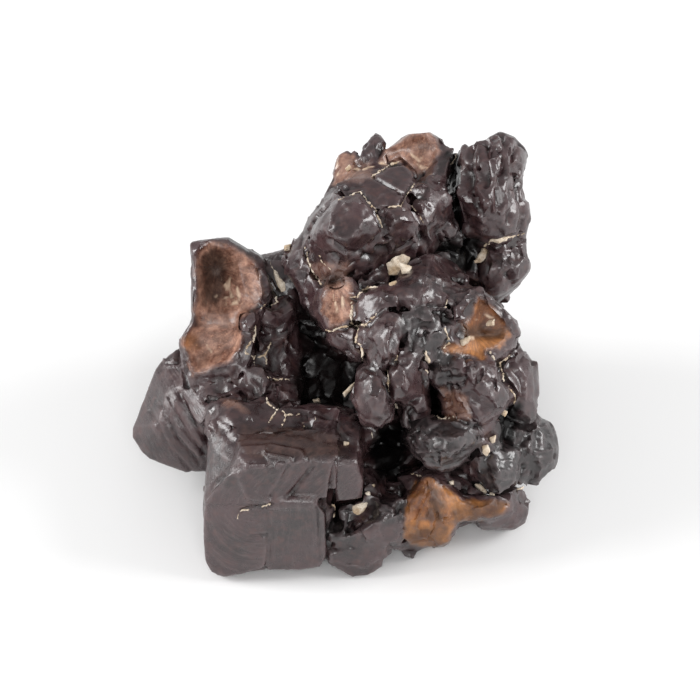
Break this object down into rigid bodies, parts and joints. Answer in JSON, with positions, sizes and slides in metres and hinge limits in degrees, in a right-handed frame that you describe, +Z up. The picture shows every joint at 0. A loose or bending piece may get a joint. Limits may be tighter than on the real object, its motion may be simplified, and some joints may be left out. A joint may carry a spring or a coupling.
{
  "type": "iron oxide concretion",
  "caption": "Hand-sized lump of dark brown iron oxide crystals grown together, cubic blocks and broken hollow shells with rust-brown insides, cream matrix in the cracks.",
  "frame": {"origin": "on the table plane, under the middle of the stone's bounding box", "axes": "+Z up as the stone rests, +X to the right along its longest side, -Y towards the side with the great cube"},
  "size_m": [0.1076, 0.099, 0.0786],
  "materials": {
    "iron_oxide": "dull satin mineral skin, near the colour of dark chocolate, with rust-brown broken hollows"
  },
  "bodies": {
    "root": {"concretion": "iron_oxide"}
  },
  "joints": []
}
